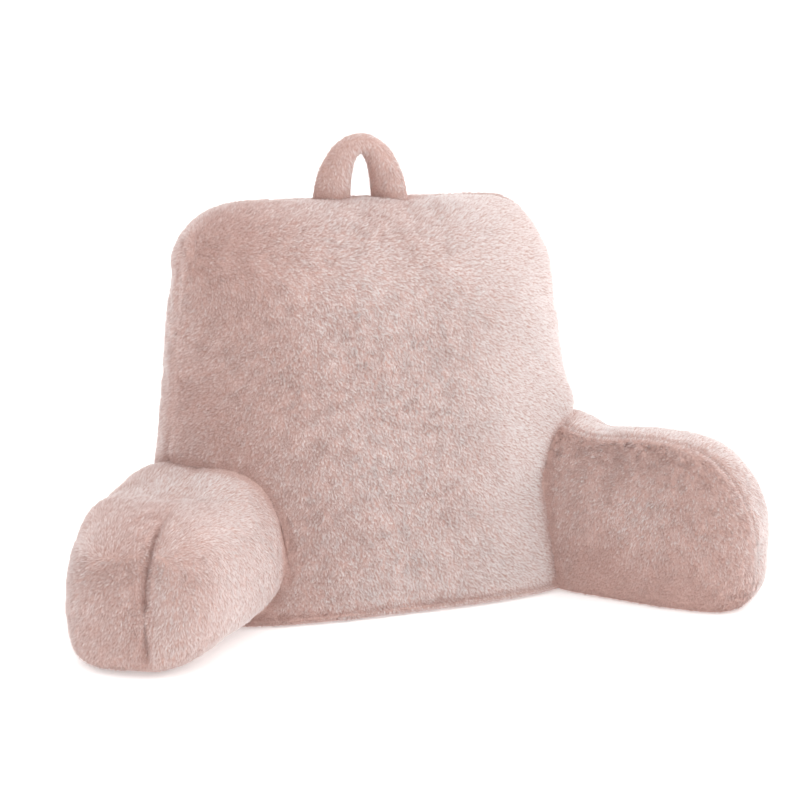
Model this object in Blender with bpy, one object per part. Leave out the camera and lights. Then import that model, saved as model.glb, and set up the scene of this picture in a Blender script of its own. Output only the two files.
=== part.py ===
"""Reading pillow with two arms and a carrying loop, standing on its flat sole.

Metres, +Z up, +X to the right of a person who looks at the front panel, -Y to the front.
The origin is at the middle of the footprint, on the floor.  The sizes below count from the
backrest's own axes, with X = 0 on its middle.  Each piece is a filled, sewn form: a loft of
rounded sections whose seams, creases and stuffing lumps are pressed into its points.  The
arms and the loop are cut by the backrest that they are sewn to.
"""
import math

import bmesh
import bpy
import numpy as np

COLLECTION_NAME = "reading_pillow"
SEWN_GAP = 0.0003            # left between two pieces that are sewn to each other
MERGE_DISTANCE = 0.00002
BELOW_SOLE_BOX = (1.4, 1.4, 0.2)
FOOTPRINT_MIDDLE = (0.0218, 0.0326)   # of all pieces together, in the backrest's own axes
PLUSH_COLOUR = (0.72, 0.50, 0.46)
PLUSH_ROUGHNESS = 0.95

# Backrest: a wedge with an upright rear and a front that leans back
BACK_HEIGHT = 0.4435
BACK_HALF_WIDTH_BOTTOM = 0.264
BACK_HALF_WIDTH_TOP = 0.2125
BACK_HALF_DEPTH_BOTTOM = 0.117
BACK_HALF_DEPTH_TOP = 0.072
BACK_FRONT_Y = -0.024        # front panel at the floor
BACK_LEAN = math.radians(10.5)
BACK_SECTION_POWER = 2.8     # 2 is an ellipse, more is squarer
BACK_TOP_TILT = 0.001        # rise of the right end of the top over its middle
BACK_CORNER_LEFT = dict(height=0.084, width=0.084, power=2.35)    # rounding of the two upper corners
BACK_CORNER_RIGHT = dict(height=0.084, width=0.062, power=1.9)
BACK_TOP_ROUND = 0.072       # height over which the depth closes to the top seam
BACK_TOP_POWER = 2.2
SOLE_ROUND = 0.012           # rounding at the sole
SIDE_SEAM_FORWARD = 0.25     # side seam ahead of the middle, as a share of the half depth
BACK_RING_POINTS = 60
BACK_WALL_RINGS = 20
BACK_TOP_RINGS = 9

# Arms: each leaves the backrest's side, turns forward and ends in a rounded nose.  The seam
# along the ridge and down the nose parts the inner panel from the outer one, and each pair
# of powers is for those two.  sole_drop is the depth under the middle line over that line's
# height: above 1, the sole is cut off flat.  ridge_angle is where the seam crosses each ring,
# 90 on top and more towards the inner panel.
ARM_TURN = 0.110             # length of the turn out of the backrest
ARM_SETTLE = 0.030           # further length until the arm is straight
ARM_FLARE_REACH = 0.042      # how far along the arm its raised root fades
ARM_ROOT_OUTER = 0.40        # outer half width at the start of the turn, as a share
ARM_ROOT_INNER = 0.45        # inner half width there: a tight turn mustn't fold over itself
ARM_INNER_SETTLE = 0.60      # share of the length over which the inner root widening fades
ARM_RING_POINTS = 36
ARM_RINGS = 27
ARMS = {
    "arm_left": dict(side=-1, splay=30.0, bend=0.5, length=0.205, start_x=0.209, start_y=0.060,
                     inner=0.086, outer=0.118, root_inner=1.17, taper=0.90,
                     root_height=0.143, nose_height=0.165, flare=0.030, middle=0.400,
                     upper_powers=(2.3, 2.65), lower_powers=(2.05, 6.0),
                     nose=0.165, nose_side_power=3.1, nose_top_power=2.35, nose_sole_power=7.0,
                     sole_drop=1.04, ridge_angle=90.0),
    "arm_right": dict(side=1, splay=34.5, bend=6.0, length=0.253, start_x=0.211, start_y=0.075,
                      inner=0.071, outer=0.110, root_inner=1.02, taper=0.96,
                      root_height=0.168, nose_height=0.202, flare=0.028, middle=0.325,
                      upper_powers=(2.4, 2.4), lower_powers=(5.0, 5.0),
                      nose=0.140, nose_side_power=3.4, nose_top_power=2.1, nose_sole_power=6.0,
                      sole_drop=1.13, ridge_angle=105.0),
}

# Carrying loop: a sewn tube, wide where it enters the top seam and thinner over its crown
LOOP_CENTRE_X = -0.0037
LOOP_HALF_SPAN = 0.0342
LOOP_RISE = 0.0695
LOOP_START = 0.0135          # its arch springs this far below the top of the backrest
LOOP_LEG_HALF = 0.0229       # half thickness seen from the front, at the legs
LOOP_CROWN_HALF = 0.0125     # and over the crown
LOOP_LEG_DEPTH = 0.0150      # half thickness from front to rear, at the legs
LOOP_CROWN_DEPTH = 0.0175
LOOP_TAIL = 0.35             # radians of arch that go on below its springing, inside the seam
LOOP_RINGS = 23
LOOP_RING_POINTS = 12

# Seams and creases: depth pressed in and half width
SIDE_SEAM = dict(depth=0.0035, reach=0.007)
BASE_SEAM = dict(depth=0.0025, reach=0.005, height=0.012)
RIDGE_SEAM = dict(depth=0.0045, reach=0.007)
NOSE_SEAM_EXTRA = 0.0035     # the seam is pinched deeper down the nose
NOSE_SEAM_END = 0.018        # height at which it dies out above the sole

# Soft troughs on the front panel: middle, half length, turn from level, depth and half width
FRONT_TROUGHS = [
    dict(x=0.175, z=0.125, half=0.045, turn=8.0, depth=0.0035, reach=0.018),
    dict(x=-0.150, z=0.150, half=0.040, turn=-35.0, depth=0.0035, reach=0.020),
    dict(x=0.052, z=0.432, half=0.010, turn=0.0, depth=0.0060, reach=0.016),
]
LUMP_DEPTH = 0.0022          # stuffing lumps, either way
LUMP_WAVES = [(23.0, 31.0, 27.0, 0.4), (41.0, -17.0, 35.0, 2.1), (-29.0, 38.0, 52.0, 4.4)]


def signed_power(value, power):
    return np.sign(value) * np.abs(value) ** power


def rounding(share, power):
    """1 at share 0, falling to 0 at share 1 along a superellipse."""
    return np.maximum(1.0 - np.clip(share, 0.0, 1.0) ** power, 0.0) ** (1.0 / power)


def smooth_step(share):
    share = np.clip(share, 0.0, 1.0)
    return share * share * (3.0 - 2.0 * share)


def even_angles(count, half_width, half_height, power, start=0.0):
    """Angles whose points lie at even distances round a superellipse, beginning at start."""
    fine = start + np.linspace(0.0, 2.0 * np.pi, 2001)
    x = half_width * signed_power(np.cos(fine), 2.0 / power)
    y = half_height * signed_power(np.sin(fine), 2.0 / power)
    run = np.concatenate([[0.0], np.cumsum(np.hypot(np.diff(x), np.diff(y)))])
    return np.interp(np.linspace(0.0, run[-1], count, endpoint=False), run, fine)


def with_seams(angles, seams, offsets):
    """Swap the points nearest to each seam for a close set on both sides of it."""
    kept = angles
    close = []
    for seam in seams:
        apart = np.abs((kept - seam + np.pi) % (2.0 * np.pi) - np.pi)
        kept = kept[apart > 1.35 * max(offsets)]
        close.extend([seam] + [seam + offset for offset in offsets] + [seam - offset for offset in offsets])
    return np.sort(np.concatenate([kept, close]) % (2.0 * np.pi))


def lumps(points):
    """Uneven stuffing: a sum of slow waves over the piece, between about -1 and 1."""
    total = 0.0
    for wave_x, wave_y, wave_z, phase in LUMP_WAVES:
        total = total + np.sin(points[..., 0] * wave_x + phase) * np.cos(points[..., 1] * wave_y)
        total = total + np.sin(points[..., 2] * wave_z + 2.0 * phase)
    return total / (2.0 * len(LUMP_WAVES))


def groove(distance, reach):
    return np.exp(-(distance / reach) ** 2)


def outward(points):
    """Normals of a grid of rings, each closed round, pointing out of the form."""
    along = np.gradient(points, axis=0)
    around = np.roll(points, -1, axis=1) - np.roll(points, 1, axis=1)
    normal = np.cross(around, along)
    return normal / np.maximum(np.linalg.norm(normal, axis=2, keepdims=True), 1e-9)


def press(points, depth):
    """Move each point of the grid inwards by its own depth."""
    return points - outward(points) * depth[..., None]


def loft_mesh(name, rings, cap_last):
    """A closed mesh through rings with the same number of points.

    The first ring is capped.  The last one is capped too, or else it has shrunk to a line or
    a point and its matching points are merged.
    """
    ring_count, around, _ = rings.shape
    first = np.arange(around)
    after = (first + 1) % around
    faces = []
    for ring in range(ring_count - 1):
        low, high = ring * around, (ring + 1) * around
        faces.extend(np.stack([low + first, low + after, high + after, high + first], axis=1).tolist())
    faces.append(first[::-1].tolist())
    if cap_last:
        faces.append(((ring_count - 1) * around + first).tolist())
    mesh = bpy.data.meshes.new(name)
    mesh.from_pydata(rings.reshape(-1, 3).tolist(), [], faces)
    work = bmesh.new()
    work.from_mesh(mesh)
    bmesh.ops.remove_doubles(work, verts=work.verts, dist=MERGE_DISTANCE)
    bmesh.ops.triangulate(work, faces=work.faces)
    work.to_mesh(mesh)
    work.free()
    return mesh


def add_object(name, mesh, collection):
    thing = bpy.data.objects.new(name, mesh)
    thing.location = (-FOOTPRINT_MIDDLE[0], -FOOTPRINT_MIDDLE[1], 0.0)
    collection.objects.link(thing)
    return thing


def finish_piece(thing, shade_angle=60.0):
    """Shade the piece smooth and give it its own plush material."""
    thing.data.shade_smooth()
    thing.data.set_sharp_from_angle(angle=math.radians(shade_angle))
    material = bpy.data.materials.new(thing.name + "_plush")
    material.use_nodes = True
    shader = material.node_tree.nodes["Principled BSDF"]
    shader.inputs["Base Color"].default_value = (*PLUSH_COLOUR, 1.0)
    shader.inputs["Roughness"].default_value = PLUSH_ROUGHNESS
    shader.inputs["Metallic"].default_value = 0.0
    thing.data.materials.append(material)


def backrest_axis(height):
    """Half depth before the top rounding, and the middle in Y, at a height."""
    share = height / BACK_HEIGHT
    half_depth = BACK_HALF_DEPTH_BOTTOM + (BACK_HALF_DEPTH_TOP - BACK_HALF_DEPTH_BOTTOM) * share
    return half_depth, BACK_FRONT_Y + math.tan(BACK_LEAN) * height + half_depth


def upper_corner(height, corner):
    """How far an upper corner's rounding draws the side in, at each height."""
    share = np.clip((height - (BACK_HEIGHT - corner["height"])) / corner["height"], 0.0, 1.0)
    return corner["width"] * (1.0 - np.sqrt(1.0 - share ** corner["power"]))


def backrest_rings():
    """Level rings from the sole up; over the top they close to the seam line."""
    wall_top = BACK_HEIGHT - BACK_TOP_ROUND
    wall = np.linspace(BASE_SEAM["height"] + 3.0 * BASE_SEAM["reach"], wall_top, BACK_WALL_RINGS)
    low = BASE_SEAM["height"] + BASE_SEAM["reach"] * np.array([-2.4, -1.5, -0.8, 0.0, 0.8, 1.6])
    top_angle = np.linspace(0.0, np.pi / 2.0, BACK_TOP_RINGS + 1)[1:]
    top = wall_top + BACK_TOP_ROUND * np.sin(top_angle)
    height = np.concatenate([low, wall, top])

    nominal, middle = backrest_axis(height)
    straight = BACK_HALF_WIDTH_BOTTOM + (BACK_HALF_WIDTH_TOP - BACK_HALF_WIDTH_BOTTOM) * height / BACK_HEIGHT
    half_depth = nominal * rounding((height - wall_top) / BACK_TOP_ROUND, BACK_TOP_POWER)
    sole = SOLE_ROUND * (1.0 - rounding((SOLE_ROUND - height) / SOLE_ROUND, 2.0))
    half_depth = np.maximum(half_depth - sole, 0.0)

    seam_angle = math.asin(SIDE_SEAM_FORWARD ** (BACK_SECTION_POWER / 2.0))
    angles = even_angles(BACK_RING_POINTS, BACK_HALF_WIDTH_BOTTOM, BACK_HALF_DEPTH_BOTTOM, BACK_SECTION_POWER)
    seams = (seam_angle, np.pi - seam_angle, np.pi + seam_angle, 2.0 * np.pi - seam_angle)
    angles = with_seams(angles, seams, (0.05, 0.11))
    across = signed_power(np.cos(angles), 2.0 / BACK_SECTION_POWER)
    deep = signed_power(np.sin(angles), 2.0 / BACK_SECTION_POWER)
    left_half = straight - sole - upper_corner(height, BACK_CORNER_LEFT)
    right_half = straight - sole - upper_corner(height, BACK_CORNER_RIGHT)
    x = np.where(across < 0.0, left_half[:, None], right_half[:, None]) * across
    y = middle[:, None] + half_depth[:, None] * deep
    z = height[:, None] + BACK_TOP_TILT * (height / BACK_HEIGHT)[:, None] ** 2 * x / BACK_HALF_WIDTH_TOP
    points = np.stack([x, y, z], axis=2)

    seam_y = (middle - SIDE_SEAM_FORWARD * half_depth)[:, None]
    at_side = smooth_step((np.abs(across) - 0.8) / 0.15)[None, :]
    at_top = smooth_step((height - wall_top) / (0.6 * BACK_TOP_ROUND))[:, None]
    depth = SIDE_SEAM["depth"] * groove(y - seam_y, SIDE_SEAM["reach"]) * np.maximum(at_side, at_top)
    depth = depth + BASE_SEAM["depth"] * groove(height - BASE_SEAM["height"], BASE_SEAM["reach"])[:, None]
    at_front = smooth_step(-deep / 0.6)[None, :]
    for trough in FRONT_TROUGHS:
        turn = math.radians(trough["turn"])
        along = (x - trough["x"]) * math.cos(turn) + (z - trough["z"]) * math.sin(turn)
        aside = (z - trough["z"]) * math.cos(turn) - (x - trough["x"]) * math.sin(turn)
        beyond = np.maximum(np.abs(along) - trough["half"], 0.0)
        depth = depth + trough["depth"] * at_front * groove(np.hypot(aside, beyond), trough["reach"])
    depth = depth + LUMP_DEPTH * lumps(points) * smooth_step(height / 0.05)[:, None]
    pressed = press(points, depth)
    closing = points[-1].copy()
    closing[:, 2] -= SIDE_SEAM["depth"]
    pressed[-1] = closing
    pressed[0, :, 2] = 0.0
    return pressed


def arm_line(arm, ring_count):
    """Distance along the arm from the end of its turn, and the middle and heading of each ring."""
    run = ARM_TURN + arm["length"]
    share = np.linspace(0.0, 1.0, ring_count)
    at = (1.0 - (1.0 - share) ** 1.5) * run
    fine = np.linspace(0.0, run, 600)
    turned = smooth_step(fine / (ARM_TURN + ARM_SETTLE))
    straight = np.clip((fine - ARM_TURN) / arm["length"], 0.0, 1.0)
    heading = (1.0 - turned) * np.pi / 2.0 + turned * math.radians(arm["splay"])
    heading += math.radians(arm["bend"]) * straight
    step = fine[1] - fine[0]
    x = np.concatenate([[0.0], np.cumsum(np.sin(heading[:-1]) * step)])
    y = -np.concatenate([[0.0], np.cumsum(np.cos(heading[:-1]) * step)])
    x += arm["start_x"] - np.interp(ARM_TURN, fine, x)
    y += arm["start_y"] - np.interp(ARM_TURN, fine, y)
    return at - ARM_TURN, np.interp(at, fine, x), np.interp(at, fine, y), np.interp(at, fine, heading)


def arm_rings(arm):
    """Upright rings along the arm, closing to the tip of the nose; the seam is their top and bottom."""
    along, centre_x, centre_y, heading = arm_line(arm, ARM_RINGS)
    nose = (along - (arm["length"] - arm["nose"])) / arm["nose"]
    side_close = rounding(nose, arm["nose_side_power"])
    top_close = rounding(nose, arm["nose_top_power"])
    sole_close = rounding(nose, arm["nose_sole_power"])
    share = np.clip(along / arm["length"], 0.0, 1.0)
    height = arm["root_height"] + (arm["nose_height"] - arm["root_height"]) * share
    widen = 1.0 + (arm["taper"] - 1.0) * share
    flare = arm["flare"] * groove(np.maximum(along, -0.02), ARM_FLARE_REACH)
    middle = arm["middle"] * height

    mean_width = 0.5 * (arm["inner"] + arm["outer"])
    half_height = 0.5 * arm["nose_height"]
    angles = even_angles(ARM_RING_POINTS, mean_width, half_height, arm["upper_powers"][0], np.pi / 4.0)
    ridge_angle = math.radians(arm["ridge_angle"])
    angles = with_seams(angles, (ridge_angle, 1.5 * np.pi), (0.03, 0.09))
    cosine, sine = np.cos(angles), np.sin(angles)
    on_outer = (cosine >= 0.0).astype(int)
    upper_power = np.take(arm["upper_powers"], on_outer)
    lower_power = np.take(arm["lower_powers"], on_outer)
    power = np.where(sine >= 0.0, upper_power, lower_power)
    root = smooth_step(-along / ARM_TURN)
    outer = arm["outer"] * (1.0 - (1.0 - ARM_ROOT_OUTER) * root)
    near_root = 1.0 - np.clip(share / ARM_INNER_SETTLE, 0.0, 1.0)
    inner = arm["inner"] * (1.0 + (arm["root_inner"] - 1.0) * near_root)
    inner *= 1.0 - (1.0 - ARM_ROOT_INNER) * root
    side_width = np.where(cosine >= 0.0, outer[:, None], inner[:, None])
    aside = (widen * side_close)[:, None] * side_width * signed_power(cosine, 2.0 / power)
    rise = ((height - middle + flare) * top_close)[:, None] * np.maximum(sine, 0.0) ** (2.0 / power)
    drop = (arm["sole_drop"] * middle * sole_close)[:, None] * np.maximum(-sine, 0.0) ** (2.0 / power)
    x = centre_x[:, None] + aside * np.cos(heading)[:, None]
    y = centre_y[:, None] + aside * np.sin(heading)[:, None]
    z = middle[:, None] + rise - drop
    points = np.stack([x, y, z], axis=2)

    ridge_share = max(-math.cos(ridge_angle), 0.0) ** (2.0 / arm["upper_powers"][0])
    ridge_aside = -(widen * side_close * inner * ridge_share)[:, None]
    from_seam = np.where(sine >= 0.0, aside - ridge_aside, aside)
    on_nose = smooth_step(nose / 0.7)[:, None]
    pinch = RIDGE_SEAM["depth"] + NOSE_SEAM_EXTRA * on_nose
    above_base = smooth_step((z - NOSE_SEAM_END) / NOSE_SEAM_END)
    depth = pinch * groove(from_seam, RIDGE_SEAM["reach"]) * above_base
    depth = depth * smooth_step((along + 0.02) / 0.03)[:, None]
    depth = depth + LUMP_DEPTH * lumps(points) * smooth_step(z / 0.05)
    pressed = press(points, depth)
    pressed[-1] = points[-1]
    if arm["side"] < 0:
        pressed[..., 0] *= -1.0
        pressed = pressed[:, ::-1]
    return pressed


def loop_rings():
    """Rings along a half ellipse, wide at the legs and thin over the crown."""
    angle = np.linspace(-LOOP_TAIL, np.pi + LOOP_TAIL, LOOP_RINGS)
    crown = np.clip(np.sin(angle), 0.0, 1.0) ** 2
    in_plane = LOOP_LEG_HALF + (LOOP_CROWN_HALF - LOOP_LEG_HALF) * crown
    in_depth = LOOP_LEG_DEPTH + (LOOP_CROWN_DEPTH - LOOP_LEG_DEPTH) * crown
    x = LOOP_CENTRE_X + LOOP_HALF_SPAN * np.cos(angle)
    z = BACK_HEIGHT - LOOP_START + LOOP_RISE * np.sin(angle)
    tangent_x = -LOOP_HALF_SPAN * np.sin(angle)
    tangent_z = LOOP_RISE * np.cos(angle)
    length = np.hypot(tangent_x, tangent_z)
    around = np.linspace(0.0, 2.0 * np.pi, LOOP_RING_POINTS, endpoint=False)
    out = in_plane[:, None] * np.cos(around)
    _, top_y = backrest_axis(BACK_HEIGHT)
    return np.stack([x[:, None] + out * (tangent_z / length)[:, None],
                     top_y + in_depth[:, None] * np.sin(around),
                     z[:, None] - out * (tangent_x / length)[:, None]], axis=2)


def cut(thing, cutter):
    boolean = thing.modifiers.new("cut_by_" + cutter.name, "BOOLEAN")
    boolean.operation = "DIFFERENCE"
    boolean.solver = "EXACT"
    boolean.object = cutter


def build():
    for old in list(bpy.data.objects):
        bpy.data.objects.remove(old, do_unlink=True)
    pieces = bpy.data.collections.new(COLLECTION_NAME)
    cutters = bpy.data.collections.new("cutters")
    bpy.context.scene.collection.children.link(pieces)
    bpy.context.scene.collection.children.link(cutters)

    backrest = add_object("backrest", loft_mesh("backrest", backrest_rings(), cap_last=False), pieces)
    swollen = add_object("swollen_backrest", backrest.data.copy(), cutters)
    swell = swollen.modifiers.new("sewn_gap", "DISPLACE")
    swell.strength = SEWN_GAP
    swell.mid_level = 0.0
    below = add_object("below_the_sole", bpy.data.meshes.new("below_the_sole"), cutters)
    box = bmesh.new()
    bmesh.ops.create_cube(box, size=1.0)
    bmesh.ops.scale(box, vec=BELOW_SOLE_BOX, verts=box.verts)
    bmesh.ops.translate(box, vec=(0.0, 0.0, -0.5 * BELOW_SOLE_BOX[2]), verts=box.verts)
    box.to_mesh(below.data)
    box.free()
    for cutter in (swollen, below):
        cutter.hide_render = True
        cutter.display_type = "WIRE"

    finish_piece(backrest)
    for name, arm in ARMS.items():
        piece = add_object(name, loft_mesh(name, arm_rings(arm), cap_last=False), pieces)
        cut(piece, swollen)
        cut(piece, below)
        finish_piece(piece)
    loop = add_object("handle", loft_mesh("handle", loop_rings(), cap_last=True), pieces)
    cut(loop, swollen)
    finish_piece(loop)


build()
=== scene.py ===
import math
import time

import bpy
import numpy as np
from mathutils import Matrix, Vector


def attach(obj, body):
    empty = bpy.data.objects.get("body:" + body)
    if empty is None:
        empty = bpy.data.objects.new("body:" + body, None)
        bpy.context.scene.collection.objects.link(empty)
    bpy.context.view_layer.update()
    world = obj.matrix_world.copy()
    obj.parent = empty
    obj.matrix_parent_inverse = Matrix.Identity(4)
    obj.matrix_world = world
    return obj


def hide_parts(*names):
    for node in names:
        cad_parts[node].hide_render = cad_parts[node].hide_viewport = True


startTime = time.perf_counter()
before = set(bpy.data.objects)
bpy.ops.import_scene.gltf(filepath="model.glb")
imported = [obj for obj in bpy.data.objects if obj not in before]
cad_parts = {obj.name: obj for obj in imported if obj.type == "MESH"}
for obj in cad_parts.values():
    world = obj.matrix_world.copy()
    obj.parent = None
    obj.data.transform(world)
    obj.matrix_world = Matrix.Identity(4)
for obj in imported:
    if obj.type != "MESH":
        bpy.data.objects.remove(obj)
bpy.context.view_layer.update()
footprintMiddle = np.array([0.0218, 0.0326, 0.0])   # the sizes below count from the backrest's own axes


def say(*words):
    print(f"[{time.perf_counter() - startTime:6.1f} s]", *words, flush=True)


class Wire:                                   # one socket, which can stand in a sum
    def __init__(self, tree, socket):
        self.tree, self.socket = tree, socket

    def maths(self, operation, *values):
        return addNode(self.tree, "ShaderNodeMath", {"operation": operation}, dict(enumerate(values)))[0]

    def clamped(self):                        # kept between 0 and 1
        return addNode(self.tree, "ShaderNodeClamp", {}, {"Value": self})[0]

    def __add__(self, other): return self.maths("ADD", self, other)
    def __radd__(self, other): return self.maths("ADD", other, self)
    def __sub__(self, other): return self.maths("SUBTRACT", self, other)
    def __rsub__(self, other): return self.maths("SUBTRACT", other, self)
    def __mul__(self, other): return self.maths("MULTIPLY", self, other)
    def __rmul__(self, other): return self.maths("MULTIPLY", other, self)
    def __truediv__(self, other): return self.maths("DIVIDE", self, other)
    def __rtruediv__(self, other): return self.maths("DIVIDE", other, self)


def addNode(tree, kind, settings, values):    # its settings first, then each socket's value or link
    node = tree.nodes.new(kind)
    stops = settings.get("stops")
    for key, value in settings.items():
        if key != "stops":
            setattr(node, key, value)
    if stops:                                 # a ramp's places and colours
        ramp = node.color_ramp
        while len(ramp.elements) > 1:
            ramp.elements.remove(ramp.elements[-1])
        ramp.elements[0].position, ramp.elements[0].color = stops[0][0], (*stops[0][1], 1)
        for place, colour in stops[1:]:
            ramp.elements.new(place).color = (*colour, 1)
    for key, value in values.items():
        named = [socket for socket in node.inputs if socket.enabled and socket.name == key]
        socket = named[0] if named else node.inputs[key]
        if isinstance(value, Wire):
            tree.links.new(value.socket, socket)
        else:
            socket.default_value = value
    return [Wire(tree, output) for output in node.outputs if output.enabled]


def newPaint(name, finish, colour=None):      # a material and its Principled shader's plain values
    paint = bpy.data.materials.new(name)
    paint.use_nodes = True
    tree = paint.node_tree
    shader = tree.nodes["Principled BSDF"]
    for socket, value in finish.items():
        shader.inputs[socket].default_value = value
    if colour:
        tree.links.new(colour(tree).socket, shader.inputs["Base Color"])
    return paint


# The camera stands in front, a little above and to the left.  Angles are in degrees.
studio = dict(
    azimuth=-20.84, elevation=11.13, distance=1.8068, lens=76.39, sensor=36.0,
    target=(-0.0280, -0.0326, 0.2345),
    sunFrom=(0.80, -0.30, 0.45), sunAngle=30.0, sunStrength=0.42,
    brightStrength=1.65, dimStrength=0.80,    # the room behind, above and to the right, and its other side
    brightUp=0.9, brightRight=0.5, brightStart=-0.5, brightEnd=0.35,
    floorSize=40.0, exposure=-0.16,
)
floorFinish = {"Base Color": (0.97, 0.97, 0.97, 1), "Roughness": 0.9, "Specular IOR Level": 0.1,
               "Emission Color": (1, 1, 1, 1), "Emission Strength": 0.42}


def lookAt(thing, place, target):
    thing.location = place
    thing.rotation_euler = (Vector(target) - Vector(place)).to_track_quat("-Z", "Y").to_euler()
    bpy.context.scene.collection.objects.link(thing)


def buildStudio(s):
    scene = bpy.context.scene
    azimuth, elevation = math.radians(s["azimuth"]), math.radians(s["elevation"])
    back = Vector((math.sin(azimuth) * math.cos(elevation), -math.cos(azimuth) * math.cos(elevation),
                   math.sin(elevation)))
    lens = bpy.data.cameras.new("camera")
    lens.lens = s["lens"]
    lens.sensor_width = s["sensor"]
    scene.camera = bpy.data.objects.new("camera", lens)
    lookAt(scene.camera, Vector(s["target"]) + back * s["distance"], s["target"])

    lamp = bpy.data.lights.new("softKey", "SUN")
    lamp.energy = s["sunStrength"]
    lamp.angle = math.radians(s["sunAngle"])
    lookAt(bpy.data.objects.new("softKey", lamp), s["sunFrom"], (0, 0, 0))

    # the room's strength rises smoothly with the cosine between each direction and its brightest one
    world = bpy.data.worlds.new("studio")
    scene.world = world
    world.use_nodes = True
    tree = world.node_tree
    bright = Vector((-back.x, -back.y, 0)) + Vector((-back.y, back.x, 0)) * s["brightRight"]
    bright = (bright + Vector((0, 0, s["brightUp"]))).normalized()
    way = addNode(tree, "ShaderNodeTexCoord", {}, {})[0]
    towards = addNode(tree, "ShaderNodeVectorMath", {"operation": "DOT_PRODUCT"}, {0: way, 1: bright})[0]
    share = ((towards - s["brightStart"]) / (s["brightEnd"] - s["brightStart"])).clamped()
    strength = s["dimStrength"] + (s["brightStrength"] - s["dimStrength"]) * share * share * (3 - 2 * share)
    tree.nodes["Background"].inputs["Color"].default_value = (1, 1, 1, 1)
    tree.links.new(strength.socket, tree.nodes["Background"].inputs["Strength"])
    scene.view_settings.view_transform = "Standard"
    scene.view_settings.look = "None"
    scene.view_settings.exposure = s["exposure"]

    half = s["floorSize"] / 2
    corners = [(-half, -half, 0), (half, -half, 0), (half, half, 0), (-half, half, 0)]
    mesh = bpy.data.meshes.new("floor")
    mesh.from_pydata(corners, [], [(0, 1, 2, 3)])
    mesh.materials.append(newPaint("floorPaint", floorFinish))
    floor = bpy.data.objects.new("floor", mesh)
    scene.collection.objects.link(floor)


buildStudio(studio)
say("studio")


def signedPower(value, power):
    return np.sign(value) * np.abs(value) ** power


def rounding(share, power):                   # 1 at share 0, down to 0 at share 1, along a superellipse
    return np.maximum(1 - np.clip(share, 0, 1) ** power, 0) ** (1 / power)


def smoothStep(share):
    share = np.clip(share, 0, 1)
    return share * share * (3 - 2 * share)


def groove(distance, reach):                  # a bell curve: 1 on the line, a third at the reach
    return np.exp(-(distance / reach) ** 2)


def alongStops(value, stops):                 # straight steps between named places and their values
    return np.interp(value, *zip(*stops))


def unit(vectors):
    return vectors / np.maximum(np.linalg.norm(vectors, axis=-1, keepdims=True), 1e-9)


def evenAngles(count, halfWidth, halfHeight, power, start=0.0, seams=(), crowd=2, crowdReach=0.16):
    # even steps of length round a superellipse, closer by the crowd where a seam crosses it
    fine = start + np.linspace(0, 2 * np.pi, 4001)
    x = halfWidth * signedPower(np.cos(fine), 2 / power)
    y = halfHeight * signedPower(np.sin(fine), 2 / power)
    step = np.hypot(np.diff(x), np.diff(y))
    for seam in seams:
        turned = (fine[1:] - seam + np.pi) % (2 * np.pi) - np.pi
        step = step * (1 + crowd * groove(turned, crowdReach))
    run = np.concatenate([[0], np.cumsum(step)])
    return np.interp(np.linspace(0, run[-1], count, endpoint=False), run, fine)


def outward(points):                          # normals of rings that are each closed round
    along = np.gradient(points, axis=0)
    around = np.roll(points, -1, axis=1) - np.roll(points, 1, axis=1)
    return unit(np.cross(around, along))


stuffing = dict(depth=0.0022, calmBelow=0.05, waves=[(23, 31, 27, 0.4), (41, -17, 35, 2.1), (-29, 38, 52, 4.4)])


def lumps(points, height):                    # uneven stuffing: a sum of slow waves, calm at the sole
    total = 0
    for waveX, waveY, waveZ, phase in stuffing["waves"]:
        total = total + np.sin(points[..., 0] * waveX + phase) * np.cos(points[..., 1] * waveY)
        total = total + np.sin(points[..., 2] * waveZ + 2 * phase)
    total = total / (2 * len(stuffing["waves"]))
    return stuffing["depth"] * total * smoothStep(height / stuffing["calmBelow"])


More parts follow.
